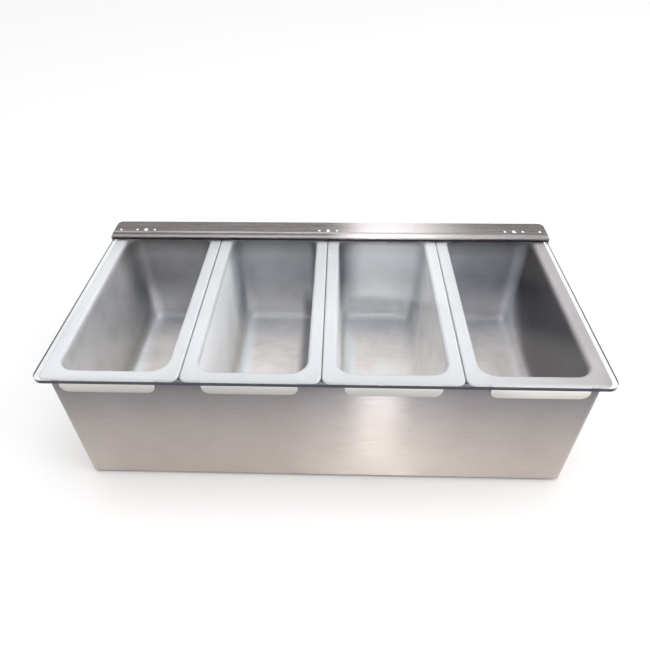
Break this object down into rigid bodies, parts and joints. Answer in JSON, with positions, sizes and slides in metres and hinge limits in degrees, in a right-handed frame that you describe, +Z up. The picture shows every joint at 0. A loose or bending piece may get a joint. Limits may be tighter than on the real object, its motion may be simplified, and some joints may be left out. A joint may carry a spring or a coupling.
{
  "type": "condiment caddy with a flip lid",
  "caption": "Low rectangular stainless caddy with deep rimmed inserts side by side under one clear lid that flips back on a riveted rear rail.",
  "frame": {"origin": "on the counter, under the middle of the caddy's bounding box", "axes": "+X along the row of inserts to the right, +Y to the hinged back, +Z up"},
  "size_m": [0.3322, 0.1686, 0.0991],
  "materials": {
    "brushed_steel": "brushed stainless sheet, grain running along the length of the housing",
    "drawn_steel": "drawn stainless sheet, satin inside and nearly white on the flat rims",
    "rivet_steel": "polished steel rivets and pins",
    "clear_panel": "clear polished plastic sheet",
    "black_rubber": "matt black rubber"
  },
  "bodies": {
    "housing": {"housing_shell": "brushed_steel", "housing_base": "brushed_steel", "rubber_feet": "black_rubber", "insert_1": "drawn_steel", "insert_2": "drawn_steel", "insert_3": "drawn_steel", "insert_4": "drawn_steel", "hinge_1_fixed_leaf": "brushed_steel", "hinge_2_fixed_leaf": "brushed_steel", "hinge_3_fixed_leaf": "brushed_steel", "hinge_1_pin": "rivet_steel", "hinge_2_pin": "rivet_steel", "hinge_3_pin": "rivet_steel", "hinge_rivets": "rivet_steel"},
    "lid": {"lid_panel": "clear_panel", "lid_rail": "brushed_steel", "rail_packing": "black_rubber", "rail_rivets": "rivet_steel", "rail_small_rivets": "rivet_steel", "hinge_1_moving_leaf": "brushed_steel", "hinge_2_moving_leaf": "brushed_steel", "hinge_3_moving_leaf": "brushed_steel"}
  },
  "joints": [
    {"name": "lid_hinge", "type": "hinge", "parent": "housing", "child": "lid", "pos_m": [0, 0.081, 0.0949], "axis": [-1, 0, 0], "range_deg": [0, 105]}
  ]
}
